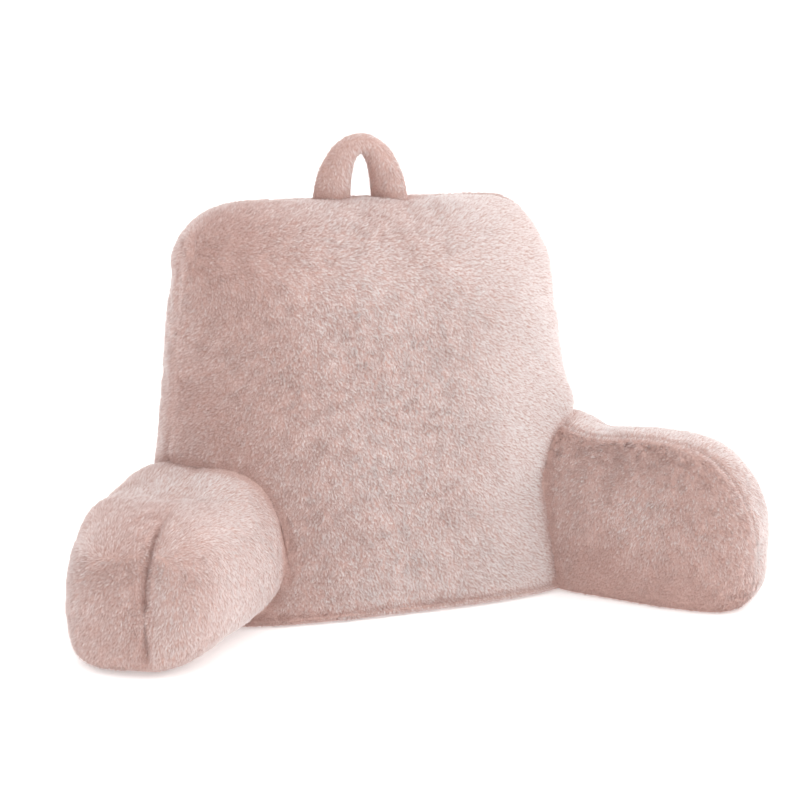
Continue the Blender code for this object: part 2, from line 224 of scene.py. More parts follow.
# The backrest, in metres: pale is painted light and shade, how much paler or deeper the hair is painted by where
# light falls, brushed how smooth it lies.
backrest = dict(
    height=0.4435, halfWidthBottom=0.264, halfWidthTop=0.2125, halfDepthBottom=0.117, halfDepthTop=0.072,
    frontY=-0.024, lean=10.5, sectionPower=2.8, topTilt=0.001,
    cornerLeft=(0.084, 0.084, 2.35), cornerRight=(0.084, 0.062, 1.9),   # height, width, power
    topRound=0.072, topPower=2.2, topShort=0.002, soleRound=0.012,
    seamForward=0.25, seamEdge=0.004, seamSide=(0.80, 0.15), seamTop=0.6, seamShow=0.5,
    seamFade=dict(share=0.8, height=0.30, over=0.08, left=0.05),        # the seam softens at the upper left
    sideSeam=(0.0030, 0.0070), baseSeam=(0.0035, 0.005, 0.012),         # depth, reach, height
    troughs=[                                                           # x, z, half, turn, depth, reach
        (0.175, 0.125, 0.045, 8.0, 0.0035, 0.018),
        (-0.150, 0.150, 0.040, -35.0, 0.0035, 0.020),
        (0.052, 0.432, 0.010, 0.0, 0.0060, 0.016),
    ],
    lows=[(0.216, 0.051, 0.212, 0.026, -0.0085), (0.196, 0.090, 0.400, 0.030, 0.0030)],  # x, y, z, reach, depth
    around=280, wallRings=76, topRings=17,
    frontFrom=0.6, combTop=(0.29, 0.11), combLevel=0.9, combBack=0.3,   # the nap turns level towards the top
    napAcross=[(-0.16, -128.0), (-0.08, -88.0), (0.05, -78.0), (0.15, -42.0)],          # x, degrees from level
    # painted light from the right: the front is painted paler towards the right and deeper towards the left
    paintedLightAcross=[(-0.20, -0.72), (-0.13, -0.28), (-0.02, 1.0), (0.12, 1.35), (0.22, 1.6)],
    # painted shade on the top: the front is painted darker from this height up
    paintedShadeTop=(-0.20, 0.34, 0.08),                                        # paler by, from height, over
    brushedAcross=[(-0.15, -0.25), (-0.09, -0.70), (0.06, -0.60), (0.14, 0.80)],
    # patches paint light and shade: above 0 painted paler, below 0 painted darker; the last number makes the hair
    # smoother
    patches=[                                                           # x, y, z, reach, paler, smoother
        (-0.182, 0.086, 0.409, 0.065, -0.9, 0.0), (-0.212, 0.051, 0.218, 0.050, -0.3, -0.3),
        (-0.171, 0.026, 0.169, 0.026, -0.9, -0.5), (0.030, 0.095, 0.433, 0.022, -1.0, -0.5),
        (-0.025, 0.066, 0.416, 0.040, -0.2, 0.0),
    ],
)


def backrestAxis(height):                     # half depth before the top rounding, and the middle in y
    share = height / backrest["height"]
    halfDepth = backrest["halfDepthBottom"] + (backrest["halfDepthTop"] - backrest["halfDepthBottom"]) * share
    return halfDepth, backrest["frontY"] + math.tan(math.radians(backrest["lean"])) * height + halfDepth


def backrestSection(height):                  # half widths to the left and right, half depth and middle
    b = backrest
    nominal, middle = backrestAxis(height)
    straight = b["halfWidthBottom"] + (b["halfWidthTop"] - b["halfWidthBottom"]) * height / b["height"]
    halfDepth = nominal * rounding((height - b["height"] + b["topRound"]) / b["topRound"], b["topPower"])
    sole = b["soleRound"] * (1 - rounding((b["soleRound"] - height) / b["soleRound"], 2))
    halves = []
    for tall, wide, power in (b["cornerLeft"], b["cornerRight"]):
        share = np.clip((height - b["height"] + tall) / tall, 0, 1)
        halves.append(straight - sole - wide * (1 - np.sqrt(np.maximum(1 - share ** power, 0))))
    return halves[0], halves[1], np.maximum(halfDepth - sole, 0), middle


def fromBackrest(points):                     # level distance to its surface, negative inside
    height = np.clip(points[..., 2], 0, backrest["height"] - backrest["topShort"])
    left, right, halfDepth, middle = backrestSection(height)
    halfWidth = np.where(points[..., 0] < 0, left, right)
    x, y, power = points[..., 0], points[..., 1] - middle, backrest["sectionPower"]
    level = ((np.abs(x) / halfWidth) ** power + (np.abs(y) / halfDepth) ** power) ** (1 / power)
    return np.hypot(x, y) * (1 - 1 / np.maximum(level, 0.05))


def insideBackrest(points, margin):           # true where a point is more than margin under its surface
    height = np.clip(points[..., 2] + margin, 0, backrest["height"])
    left, right, halfDepth, middle = backrestSection(height)
    halfWidth = np.where(points[..., 0] < 0, left, right)
    across = np.abs(points[..., 0]) / np.maximum(halfWidth - margin, 1e-4)
    deep = np.abs(points[..., 1] - middle) / np.maximum(halfDepth - margin, 1e-4)
    power = backrest["sectionPower"]
    return (across ** power + deep ** power < 1) & (points[..., 2] < backrest["height"] - margin)


def backrestForm():
    # level superellipse rings from the sole up, whose depth closes to the top seam
    b = backrest
    wallTop = b["height"] - b["topRound"]
    overTop = np.sin(np.linspace(0, np.pi / 2, b["topRings"] + 1)[1:])
    height = np.concatenate([np.linspace(0, wallTop, b["wallRings"]), wallTop + b["topRound"] * overTop])
    left, right, halfDepth, middle = backrestSection(height)
    angles = evenAngles(b["around"], b["halfWidthBottom"], b["halfDepthBottom"], b["sectionPower"])
    across = signedPower(np.cos(angles), 2 / b["sectionPower"])
    deep = signedPower(np.sin(angles), 2 / b["sectionPower"])
    x = np.where(across < 0, left[:, None], right[:, None]) * across
    y = middle[:, None] + halfDepth[:, None] * deep
    z = height[:, None] + b["topTilt"] * (height / b["height"])[:, None] ** 2 * x / b["halfWidthTop"]
    points = np.stack([x, y, z], axis=2)

    seamY = (middle - b["seamForward"] * halfDepth)[:, None]
    atSide = smoothStep((np.abs(across) - b["seamSide"][0]) / b["seamSide"][1])[None, :]
    atTop = smoothStep((height - wallTop) / (b["seamTop"] * b["topRound"]))[:, None]
    seam = groove(y - seamY, b["sideSeam"][1]) * np.maximum(atSide, atTop)
    fade = b["seamFade"]
    faded = fade["share"] * smoothStep((z - fade["height"]) / fade["over"])
    seam = seam * (1 - faded * smoothStep(-x / fade["left"]))
    base = groove(height - b["baseSeam"][2], b["baseSeam"][1])[:, None] * np.ones_like(x)
    depth = b["sideSeam"][0] * seam + b["baseSeam"][0] * base
    atFront = smoothStep(-deep / b["frontFrom"])[None, :]
    for placeX, placeZ, half, turn, deepest, reach in b["troughs"]:
        turn = math.radians(turn)
        along = (x - placeX) * math.cos(turn) + (z - placeZ) * math.sin(turn)
        aside = (z - placeZ) * math.cos(turn) - (x - placeX) * math.sin(turn)
        beyond = np.maximum(np.abs(along) - half, 0)
        depth = depth + deepest * atFront * groove(np.hypot(aside, beyond), reach)
    nearTop = smoothStep((z - b["combTop"][0]) / b["combTop"][1])
    lie = np.radians(alongStops(x, b["napAcross"]) * (1 - b["combLevel"] * nearTop))
    nap = np.stack([np.cos(lie) * atFront, 0 * x + b["combBack"], np.sin(lie) * atFront - 1 + atFront], axis=2)
    front = smoothStep((seamY - y) / b["seamEdge"]) * np.ones_like(x)
    # painted light and shade on the front: paler towards the right, deeper towards the left and over the top
    lightAndShade, fromHeight, over = b["paintedShadeTop"]
    return dict(points=points, depth=depth, swell=lumps(points, height[:, None]),
                seam=np.maximum(b["seamShow"] * seam, base), front=front,
                pale=front * (alongStops(x, b["paintedLightAcross"]) + lightAndShade * smoothStep((z - fromHeight) / over)),
                brushed=front * alongStops(x, b["brushedAcross"]), nap=nap, nearTop=nearTop, closeDown=True)


# The arms: each turns out of the backrest's side and ends in a rounded nose.  Pairs such as the powers, pale
# and brushed are for the outer and the inner panel; angles are in degrees; a ridge at 90 is on top of the arm.
armShape = dict(
    turn=0.110, settle=0.030, flareStart=-0.02, flareReach=0.042,
    rootOuter=0.40, rootInner=0.45, innerSettle=0.60,
    seamReach=0.0048, seamEnd=0.013, seamStart=(-0.02, 0.03), noseSeam=(0.45, 0.25),   # place along, fade
    paleTurn=(0.2, 0.018), brushedTurn=(0.5, 0.04),                     # share on the seam, reach of the turn
    sideways=(0.93, -0.36, 0), fanBelow=(0.055, 0.04),                  # the low hair also fans out sideways
    joint=(0.0015, 0.006), around=196, rings=87,                        # joint: depth and reach of its crease
)
# pale pairs are painted light and shade: the panel that faces right is painted paler, the panel that faces left
# deeper
arms = {
    "arm_left": dict(
        side=-1, splay=30.0, bend=0.5, length=0.205, startX=0.209, startY=0.060,
        inner=0.086, outer=0.118, rootInner=1.17, taper=0.90,
        rootHeight=0.143, noseHeight=0.165, flare=0.030, middle=0.400,
        upperPowers=(2.3, 2.65), lowerPowers=(2.05, 6.0),
        nose=0.165, noseSidePower=3.1, noseTopPower=2.35, noseSolePower=7.0, soleDrop=1.04,
        ridgeAngle=90.0, ridgeDepth=0.0010, noseDepth=0.0075, ridgeShow=0.15,
        pale=(-0.50, 0.40), brushed=(0.10, 0.80), fan=(-0.10, -0.10), fanLow=0.0, lay=(1.0, 1.0)),
    "arm_right": dict(
        side=1, splay=34.5, bend=6.0, length=0.253, startX=0.211, startY=0.075,
        inner=0.071, outer=0.110, rootInner=1.02, taper=0.96,
        rootHeight=0.168, noseHeight=0.202, flare=0.028, middle=0.325,
        upperPowers=(2.4, 2.4), lowerPowers=(5.0, 5.0),
        nose=0.140, noseSidePower=3.4, noseTopPower=2.1, noseSolePower=6.0, soleDrop=1.13,
        ridgeAngle=105.0, ridgeDepth=0.0022, noseDepth=0.0032, ridgeShow=0.90,
        pale=(1.60, -0.45), brushed=(0.70, -0.70), fan=(0.30, 0.10), fanLow=-1.0, lay=(1.0, 0.1)),
}
armLows = {                                                             # x, y, z, reach, depth
    "arm_left": [(-0.288, 0.102, 0.150, 0.035, 0.0040), (-0.322, 0.040, 0.138, 0.036, -0.0115)],
    "arm_right": [(0.268, -0.005, 0.190, 0.035, -0.0035), (0.371, -0.100, 0.120, 0.045, -0.0035),
                  (0.360, -0.125, 0.060, 0.045, -0.0030), (0.338, -0.080, 0.165, 0.032, -0.0055)],
}
# patches paint light and shade: above 0 painted paler, below 0 painted darker; the last number makes the hair
# smoother
armPatches = {                                                          # x, y, z, reach, paler, smoother
    "arm_left": [(-0.262, -0.085, 0.120, 0.030, -0.7, -1.0), (-0.272, -0.105, 0.080, 0.030, -0.7, -1.0),
                 (-0.280, -0.112, 0.040, 0.030, -0.4, -0.8), (-0.205, -0.060, 0.090, 0.055, 0.7, 0.7),
                 (-0.262, 0.030, 0.160, 0.038, 2.0, 0.3), (-0.215, 0.015, 0.160, 0.028, 0.9, -0.5),
                 (-0.300, -0.040, 0.145, 0.030, -0.4, -0.2), (-0.240, -0.020, 0.150, 0.030, -0.3, -0.7)],
    "arm_right": [(0.243, -0.079, 0.105, 0.036, 0.80, -0.9), (0.310, -0.095, 0.145, 0.030, -0.8, -0.2),
                  (0.213, -0.046, 0.025, 0.045, -1.5, 1.0), (0.275, -0.115, 0.015, 0.055, -1.5, 1.0),
                  (0.205, -0.010, 0.150, 0.026, 0.4, -0.3)],
}


def armLine(arm, ringCount):
    # a smooth turn out of the backrest's side, then nearly straight: the headings summed up step by step
    turnRun = armShape["turn"]
    run = turnRun + arm["length"]
    at = (1 - (1 - np.linspace(0, 1, ringCount)) ** 1.5) * run
    fine = np.linspace(0, run, 600)
    turned = smoothStep(fine / (turnRun + armShape["settle"]))
    heading = (1 - turned) * np.pi / 2 + turned * math.radians(arm["splay"])
    heading += math.radians(arm["bend"]) * np.clip((fine - turnRun) / arm["length"], 0, 1)
    step = fine[1] - fine[0]
    x = np.concatenate([[0], np.cumsum(np.sin(heading[:-1]) * step)])
    y = -np.concatenate([[0], np.cumsum(np.cos(heading[:-1]) * step)])
    x += arm["startX"] - np.interp(turnRun, fine, x)
    y += arm["startY"] - np.interp(turnRun, fine, y)
    return at - turnRun, np.interp(at, fine, x), np.interp(at, fine, y), np.interp(at, fine, heading)


def armForm(arm):
    # upright superellipse rings along the arm, which close to the tip of the nose
    shape = armShape
    along, middleX, middleY, heading = armLine(arm, shape["rings"])
    nose = (along - (arm["length"] - arm["nose"])) / arm["nose"]
    sideClose = rounding(nose, arm["noseSidePower"])
    topClose = rounding(nose, arm["noseTopPower"])
    soleClose = rounding(nose, arm["noseSolePower"])
    share = np.clip(along / arm["length"], 0, 1)
    height = arm["rootHeight"] + (arm["noseHeight"] - arm["rootHeight"]) * share
    widen = 1 + (arm["taper"] - 1) * share
    flare = arm["flare"] * groove(np.maximum(along, shape["flareStart"]), shape["flareReach"])
    middle = arm["middle"] * height
    angles = evenAngles(shape["around"], 0.5 * (arm["inner"] + arm["outer"]), 0.5 * arm["noseHeight"],
                        arm["upperPowers"][0], np.pi / 4, (math.radians(arm["ridgeAngle"]), 1.5 * np.pi))
    cosine, sine = np.cos(angles), np.sin(angles)
    onOuter = (cosine >= 0).astype(int)
    power = np.where(sine >= 0, np.take(arm["upperPowers"], onOuter), np.take(arm["lowerPowers"], onOuter))
    root = smoothStep(-along / shape["turn"])
    outer = arm["outer"] * (1 - (1 - shape["rootOuter"]) * root)
    nearRoot = 1 - np.clip(share / shape["innerSettle"], 0, 1)
    inner = arm["inner"] * (1 + (arm["rootInner"] - 1) * nearRoot) * (1 - (1 - shape["rootInner"]) * root)
    sideWidth = np.where(cosine >= 0, outer[:, None], inner[:, None])
    aside = (widen * sideClose)[:, None] * sideWidth * signedPower(cosine, 2 / power)
    rise = ((height - middle + flare) * topClose)[:, None] * np.maximum(sine, 0) ** (2 / power)
    drop = (arm["soleDrop"] * middle * soleClose)[:, None] * np.maximum(-sine, 0) ** (2 / power)
    x = middleX[:, None] + aside * np.cos(heading)[:, None]
    y = middleY[:, None] + aside * np.sin(heading)[:, None]
    points = np.stack([x, y, middle[:, None] + rise - drop], axis=2)

    ridgeShare = max(-math.cos(math.radians(arm["ridgeAngle"])), 0) ** (2 / arm["upperPowers"][0])
    fromSeam = np.where(sine >= 0, aside + (widen * sideClose * inner * ridgeShare)[:, None], aside)
    onNose = smoothStep((nose - shape["noseSeam"][0]) / shape["noseSeam"][1])[:, None]
    aboveBase = smoothStep((points[..., 2] - shape["seamEnd"]) / shape["seamEnd"])
    runs = aboveBase * smoothStep((along - shape["seamStart"][0]) / shape["seamStart"][1])[:, None]
    seam = groove(fromSeam, shape["seamReach"]) * runs
    depth = (arm["ridgeDepth"] + (arm["noseDepth"] - arm["ridgeDepth"]) * onNose) * seam
    seam = seam * (arm["ridgeShow"] + (1 - arm["ridgeShow"]) * onNose)
    # here the painted light and shade and the lay turn from the outer to the inner panel
    inward = smoothStep(shape["paleTurn"][0] - fromSeam / shape["paleTurn"][1])
    softly = smoothStep(shape["brushedTurn"][0] - fromSeam / shape["brushedTurn"][1])
    pale, brushed, fan, lay = (outer + (inner - outer) * blend for (outer, inner), blend in
                               ((arm["pale"], inward), (arm["brushed"], softly), (arm["fan"], softly),
                                (arm["lay"], inward)))
    ahead = np.stack([np.sin(heading), -np.cos(heading), 0 * heading], axis=1)
    ahead = ahead[:, None, :] * np.ones_like(points)
    form = dict(points=points, depth=depth, swell=lumps(points, points[..., 2]), seam=seam, pale=pale,
                brushed=brushed, ahead=ahead, fan=fan, lay=lay)
    if arm["side"] < 0:
        for field in ("points", "ahead"):
            form[field][..., 0] *= -1
        form = {key: field[:, ::-1] for key, field in form.items()}
    low = smoothStep((shape["fanBelow"][0] - form["points"][..., 2]) / shape["fanBelow"][1])
    fan = form["fan"] + arm["fanLow"] * low
    form["nap"] = np.array([0, 0, -1]) + fan[..., None] * np.array(shape["sideways"])
    return form | dict(closeDown=False)


# The carrying loop: its arch springs a little below the top of the backrest and goes on inside it by the tail.
# pale is painted light: the loop is painted paler on the side that faces right, and deeper on the left
loop = dict(middleX=-0.0037, halfSpan=0.0342, rise=0.0695, start=0.0135, legHalf=0.0229, crownHalf=0.0125,
            legDepth=0.0150, crownDepth=0.0175, tail=0.35, rings=72, around=40,
            joint=(0.0, 0.007), pale=(0.60, 1.6), nap=(0, 0.4, -1.0))   # pale: at its middle, more to the right


def loopForm():
    # an ellipse carried along half an upright ellipse, thick at the legs and thin over the crown
    angle = np.linspace(-loop["tail"], np.pi + loop["tail"], loop["rings"])
    crown = np.clip(np.sin(angle), 0, 1) ** 2
    inPlane = loop["legHalf"] + (loop["crownHalf"] - loop["legHalf"]) * crown
    inDepth = loop["legDepth"] + (loop["crownDepth"] - loop["legDepth"]) * crown
    x = loop["middleX"] + loop["halfSpan"] * np.cos(angle)
    z = backrest["height"] - loop["start"] + loop["rise"] * np.sin(angle)
    tangent = unit(np.stack([-loop["halfSpan"] * np.sin(angle), loop["rise"] * np.cos(angle)], axis=1))
    around = np.linspace(0, 2 * np.pi, loop["around"], endpoint=False)
    out = inPlane[:, None] * np.cos(around)
    topY = backrestAxis(backrest["height"])[1]
    points = np.stack([x[:, None] + out * tangent[:, 1:], topY + inDepth[:, None] * np.sin(around),
                       z[:, None] - out * tangent[:, :1]], axis=2)
    ahead = np.stack([tangent[:, 0], np.zeros_like(x), tangent[:, 1]], axis=1)
    ahead = ahead[:, None, :] * np.ones_like(points)
    middles = np.stack([x, topY + 0 * x, z], axis=1)[:, None]
    zero = np.zeros(points.shape[:2])
    # painted light from the right: paler where the loop's surface faces right, deeper where it faces left
    pale = loop["pale"][0] + loop["pale"][1] * unit(points - middles)[..., 0]
    return dict(points=points, depth=zero, swell=zero, seam=zero, pale=pale, brushed=zero, ahead=ahead,
                nap=np.array(loop["nap"]) + zero[..., None], closeDown=False)


# The woven backing under the pile, which lies that deep under the pillow's outer form.
skin = dict(under=0.0026, loopUnder=0.0015, offFloor=0.001, sewnGap=0.0003, mergeDistance=0.00002, grain=420.0,
            roses=[(0.3, (0.52, 0.320, 0.275)), (0.75, (0.66, 0.475, 0.430))],
            finish={"Roughness": 0.95, "Specular IOR Level": 0.1})


def settle(form, under):
    # the outer form pressed in by its seams and by the depth of the pile
    points = form["points"]
    pressed = points - outward(points) * (form["depth"] + form["swell"] + under)[..., None]
    if form["closeDown"]:
        pressed[-1] = points[-1] - [0, 0, under + backrest["sideSeam"][0]]
    else:
        pressed[-1] = points[-1] - under * form["ahead"][-1]
    form["skin"] = pressed
    form["normals"] = outward(pressed)


def between(first, second):                   # each point's distance to the nearest point of the other grid
    a, b = (form["points"].reshape(-1, 3).astype(np.float32) for form in (first, second))
    nearA, nearB = np.full(len(a), np.inf, np.float32), np.full(len(b), np.inf, np.float32)
    for start in range(0, len(a), 2000):
        part = a[start:start + 2000]
        square = (part ** 2).sum(axis=1)[:, None] + (b ** 2).sum(axis=1) - 2 * part @ b.T
        nearA[start:start + 2000] = square.min(axis=1)
        nearB = np.minimum(nearB, square.min(axis=0))
    return [np.sqrt(np.maximum(near, 0)).reshape(form["points"].shape[:2]).astype(float)
            for near, form in ((nearA, first), (nearB, second))]


stuffed = dict(pressure=4.0, frames=20, quality=6, loose=0.03, tension=14.0, bending=0.35, most=0.0045,
               slow=24, gain=0.5,             # the slow part of the movement is taken off, and half the rest kept
               heldSeam=0.40, heldJoint=0.3, heldBelow=0.014, heldNear=0.006)


def halfway(field, axis, closed):             # four-point middles between neighbours along one axis
    if closed:
        before, after, second = (np.roll(field, shift, axis=axis) for shift in (1, -1, -2))
        middles = (9 * (field + after) - before - second) / 16
        return np.stack([field, middles], axis=axis + 1).reshape(
            *field.shape[:axis], 2 * field.shape[axis], *field.shape[axis + 1:])
    middles = 0.5 * (field[:-1] + field[1:])
    middles[1:-1] = (9 * (field[1:-2] + field[2:-1]) - field[:-3] - field[3:]) / 16
    whole = np.zeros((2 * len(field) - 1, *field.shape[1:]))
    whole[0::2], whole[1::2] = field, middles
    return whole


def blurred(field, times):                    # evened out between neighbours, closed round the rings
    for _ in range(times):
        field = 0.5 * field + 0.25 * (np.roll(field, 1, axis=1) + np.roll(field, -1, axis=1))
        inner = 0.5 * field[1:-1] + 0.25 * (field[:-2] + field[2:])
        field = np.concatenate([field[:1], inner, field[-1:]])
    return field


def inflate(name, form):
    # cloth blown up by its stuffing and held along seams, joint and sole; its movement goes on the finer grid
    cloth = form["skin"][:-1:2, ::2]
    held = (form["seam"][:-1:2, ::2] > stuffed["heldSeam"]) | (form["joint"][:-1:2, ::2] > stuffed["heldJoint"])
    held |= cloth[..., 2] < stuffed["heldBelow"]
    if form["cutByBackrest"]:
        held |= fromBackrest(cloth) < stuffed["heldNear"]
    held[[0, -1]] = True
    thing = skinMesh(name + "_cloth", cloth, capLast=True)
    thing.modifiers.clear()
    thing.vertex_groups.new(name="held").add(np.flatnonzero(held).tolist(), 1.0, "REPLACE")
    cover = thing.modifiers.new("cover", "CLOTH")
    cover.settings.vertex_group_mass = "held"
    cover.settings.quality = stuffed["quality"]
    cover.settings.use_pressure = True
    cover.settings.uniform_pressure_force = stuffed["pressure"]
    cover.settings.shrink_min = -stuffed["loose"]
    cover.settings.tension_stiffness = cover.settings.compression_stiffness = stuffed["tension"]
    cover.settings.bending_stiffness = stuffed["bending"]
    cover.settings.effector_weights.gravity = 0.0
    cover.point_cache.frame_start, cover.point_cache.frame_end = 1, stuffed["frames"]
    for number in range(1, stuffed["frames"] + 1):
        bpy.context.scene.frame_set(number)
    blown = thing.evaluated_get(bpy.context.evaluated_depsgraph_get()).data
    places = np.zeros(cloth.size, np.float32)
    blown.vertices.foreach_get("co", places)
    moved = places.reshape(cloth.shape) + footprintMiddle - cloth
    moved = (moved - blurred(moved, stuffed["slow"])) * stuffed["gain"] * blurred(1.0 - held, 2)[..., None] ** 2
    far = np.linalg.norm(moved, axis=2, keepdims=True)
    moved *= stuffed["most"] * np.tanh(far / stuffed["most"]) / np.maximum(far, 1e-9)
    say(name, "moved", far.max().round(4), far.mean().round(4))
    bpy.data.objects.remove(thing)
    bpy.context.scene.frame_set(1)
    fine = halfway(halfway(moved, 1, True), 0, False)
    spare = len(form["skin"]) - len(fine)
    form["skin"] = form["skin"] + np.concatenate([fine, np.zeros((spare, *fine.shape[1:]))])
    form["normals"] = outward(form["skin"])


def skinMesh(name, points, capLast):          # quads between the rings, and a cap on each open end
    rings, around, _ = points.shape
    first = np.arange(around)
    after = (first + 1) % around
    low = np.arange(rings - 1)[:, None] * around
    quads = np.stack([low + first, low + after, low + around + after, low + around + first], axis=2)
    faces = quads.reshape(-1, 4).tolist() + [first[::-1].tolist()]
    if capLast:
        faces.append(((rings - 1) * around + first).tolist())
    mesh = bpy.data.meshes.new(name)
    mesh.from_pydata((points - footprintMiddle).reshape(-1, 3), [], faces)
    thing = bpy.data.objects.new(name, mesh)
    bpy.context.scene.collection.objects.link(thing)
    weld = thing.modifiers.new("weld", "WELD")
    weld.merge_threshold = skin["mergeDistance"]
    return thing


def applyModifiers(thing):
    graph = bpy.context.evaluated_depsgraph_get()
    mesh = bpy.data.meshes.new_from_object(thing.evaluated_get(graph))
    thing.modifiers.clear()
    thing.data = mesh
    mesh.shade_smooth()


def cut(thing, cutter):
    boolean = thing.modifiers.new("cut", "BOOLEAN")
    boolean.operation = "DIFFERENCE"
    boolean.solver = "MANIFOLD"               # both meshes are closed
    boolean.object = cutter


def backingColour(tree):                      # fine noise between two shades of rose
    place = addNode(tree, "ShaderNodeTexCoord", {}, {})[3]
    noise = addNode(tree, "ShaderNodeTexNoise", {}, {"Vector": place, "Scale": skin["grain"], "Detail": 3.0})[0]
    return addNode(tree, "ShaderNodeValToRGB", {"stops": skin["roses"]}, {"Fac": noise})[0]


# The plush pile.  Lengths are in metres, leans in degrees from upright, tones are shares of the way from deep
# to pale.  A clump is a lock of hair that leans together, and a tuft a larger group of clumps.
pile = dict(
    total=880000, shares={"backrest": 0.60, "arm_left": 0.185, "arm_right": 0.205, "handle": 0.010},
    length=0.0045, loopLong=1.15, width=0.00064, widths=(0.8, 0.4), stray=0.12, twist=18.0,
    rootLowest=0.0025, tipLowest=0.0004, sunk=0.0035,
    lean=48.0, leastLean=40.0, clumpRise=16, tuftRise=6, brushedLean=13.0, lyingLean=14.0, seamRise=12.0,
    # the clump edge tone is painted shade in the gaps between clumps
    clump=0.0028, clumpSalt=11, clumpPull=0.60, clumpLean=0.55, clumpTone=0.18, clumpGapShade=0.58, clumpMiddle=0.4,
    tuft=0.0095, tuftSalt=23, tuftLean=0.15, tuftTall=0.0008, tuftTone=0.035,
    long=dict(least=0.92, clump=0.22, blade=0.12, edge=0.30, seam=0.35, joint=0.45),    # shares of the length
    swingSlow=(0.12, 0.045, 5), toneSlow=(0.05, 0.05, 8),               # share, wave, salt
    brushedWave=(0.022, 31), paleWave=(0.030, 32), noise=0.24, paintedLightMost=1.6,
    brushedSwing=0.4, brushedStray=0.5, brushedPull=0.15, brushedFlat=0.5, brushedEven=0.75,
    normalShare=0.84, seamNormal=0.5,         # how far a blade is lit like the surface that it grows from
    # bladeTone is the blades' own uneven colour; the other tones here paint light and shade: the pale field's
    # light, and shade in seam creases, at the joints and along the bottom
    bladeTone=0.16, paintedLightTone=0.30, seamShadeTone=0.26, jointShade=0.60, floorShade=0.45, floorShadeReach=0.014,
    # root to tip; the deep ramp gives the hair's deeper tone and its painted shade, the pale ramp its paler tone
    # and its painted light
    deep=[(0.0, (0.42, 0.225, 0.185)), (0.5, (0.61, 0.385, 0.340)), (1.0, (0.725, 0.520, 0.470))],
    pale=[(0.0, (0.66, 0.470, 0.430)), (0.5, (0.85, 0.770, 0.750)), (1.0, (0.94, 0.915, 0.908))],
    finish={"Roughness": 0.62, "Specular IOR Level": 0.30, "Sheen Weight": 0.45, "Sheen Roughness": 0.50,
            "Sheen Tint": (1.0, 0.97, 0.96, 1.0)},
)
# Which way the hair lies by where its surface faces: on top to the right and back, on the sides a little to the
# back, on the rear straight down.  Each place is where that begins and over how much of the normal it comes in.
comb = dict(
    onTop=(0.40, 0.50), top=(0.8, 0.4, 0), topShare=0.9, onSide=(0.30, 0.45), side=(0, 0.25, 0),
    onRear=(0.45, 0.35), rear=(0, 0, -1), calm=0.7, toRight=(0.20, 0.50), rightLying=0.8, nearTopLying=0.8,
    loopLying=0.6,
)


def hashed(cells, salt):                      # four even random numbers for each integer cell
    key = cells.astype(np.int64).astype(np.uint64)
    mixed = (key[..., 0] * np.uint64(73856093)) ^ (key[..., 1] * np.uint64(19349663))
    mixed = mixed ^ (key[..., 2] * np.uint64(83492791)) ^ np.uint64(salt * 2654435761 + 97)
    numbers = []
    for _ in range(4):
        mixed = (mixed ^ (mixed >> np.uint64(33))) * np.uint64(0xff51afd7ed558ccd)
        mixed = mixed ^ (mixed >> np.uint64(29))
        numbers.append((mixed >> np.uint64(11)).astype(np.float64) / 2 ** 53)
    return np.stack(numbers, axis=-1)


def nearestTuft(points, cell, salt):          # Worley cells: the nearest scattered centre and its four numbers
    base = np.floor(points / cell)
    best = np.full(len(points), np.inf)
    centre = np.zeros_like(points)
    for i in (-1, 0, 1):
        for j in (-1, 0, 1):
            for k in (-1, 0, 1):
                corner = base + (i, j, k)
                place = (corner + hashed(corner, salt)[:, :3]) * cell
                away = ((place - points) ** 2).sum(axis=1)
                nearer = away < best
                best[nearer] = away[nearer]
                centre[nearer] = place[nearer]
    return centre, hashed(np.floor(centre / cell * 7.3), salt + 1)


def slowNoise(points, scale, salt):           # a smooth value between -1 and 1 from turned sine waves
    draw = np.random.default_rng(salt)
    total = 0
    for _ in range(6):
        wave = draw.normal(size=3) / scale
        total = total + np.sin(points @ wave + draw.uniform(0, 6.28))
    return total / 3.2


def sampleForm(form, weight, count, draw):
    # area-weighted random places in the cells of the ring grid, by blending each cell's four corners
    points = form["skin"]
    nextRing, nextAround = points[1:], np.roll(points, -1, axis=1)[:-1]
    area = np.linalg.norm(np.cross(nextAround - points[:-1], nextRing - points[:-1]), axis=2)
    share = area * 0.5 * (weight[1:] + weight[:-1])
    run = np.cumsum(share.ravel())
    pick = np.searchsorted(run, draw.uniform(0, run[-1], count))
    ring, spot = np.divmod(pick, points.shape[1])
    s, t = draw.uniform(0, 1, (2, count, 1))
    after = (spot + 1) % points.shape[1]

    def blend(field):
        field = field if field.ndim == 3 else field[..., None]
        low = field[ring, spot] * (1 - s) + field[ring, after] * s
        high = field[ring + 1, spot] * (1 - s) + field[ring + 1, after] * s
        return low * (1 - t) + high * t

    return blend


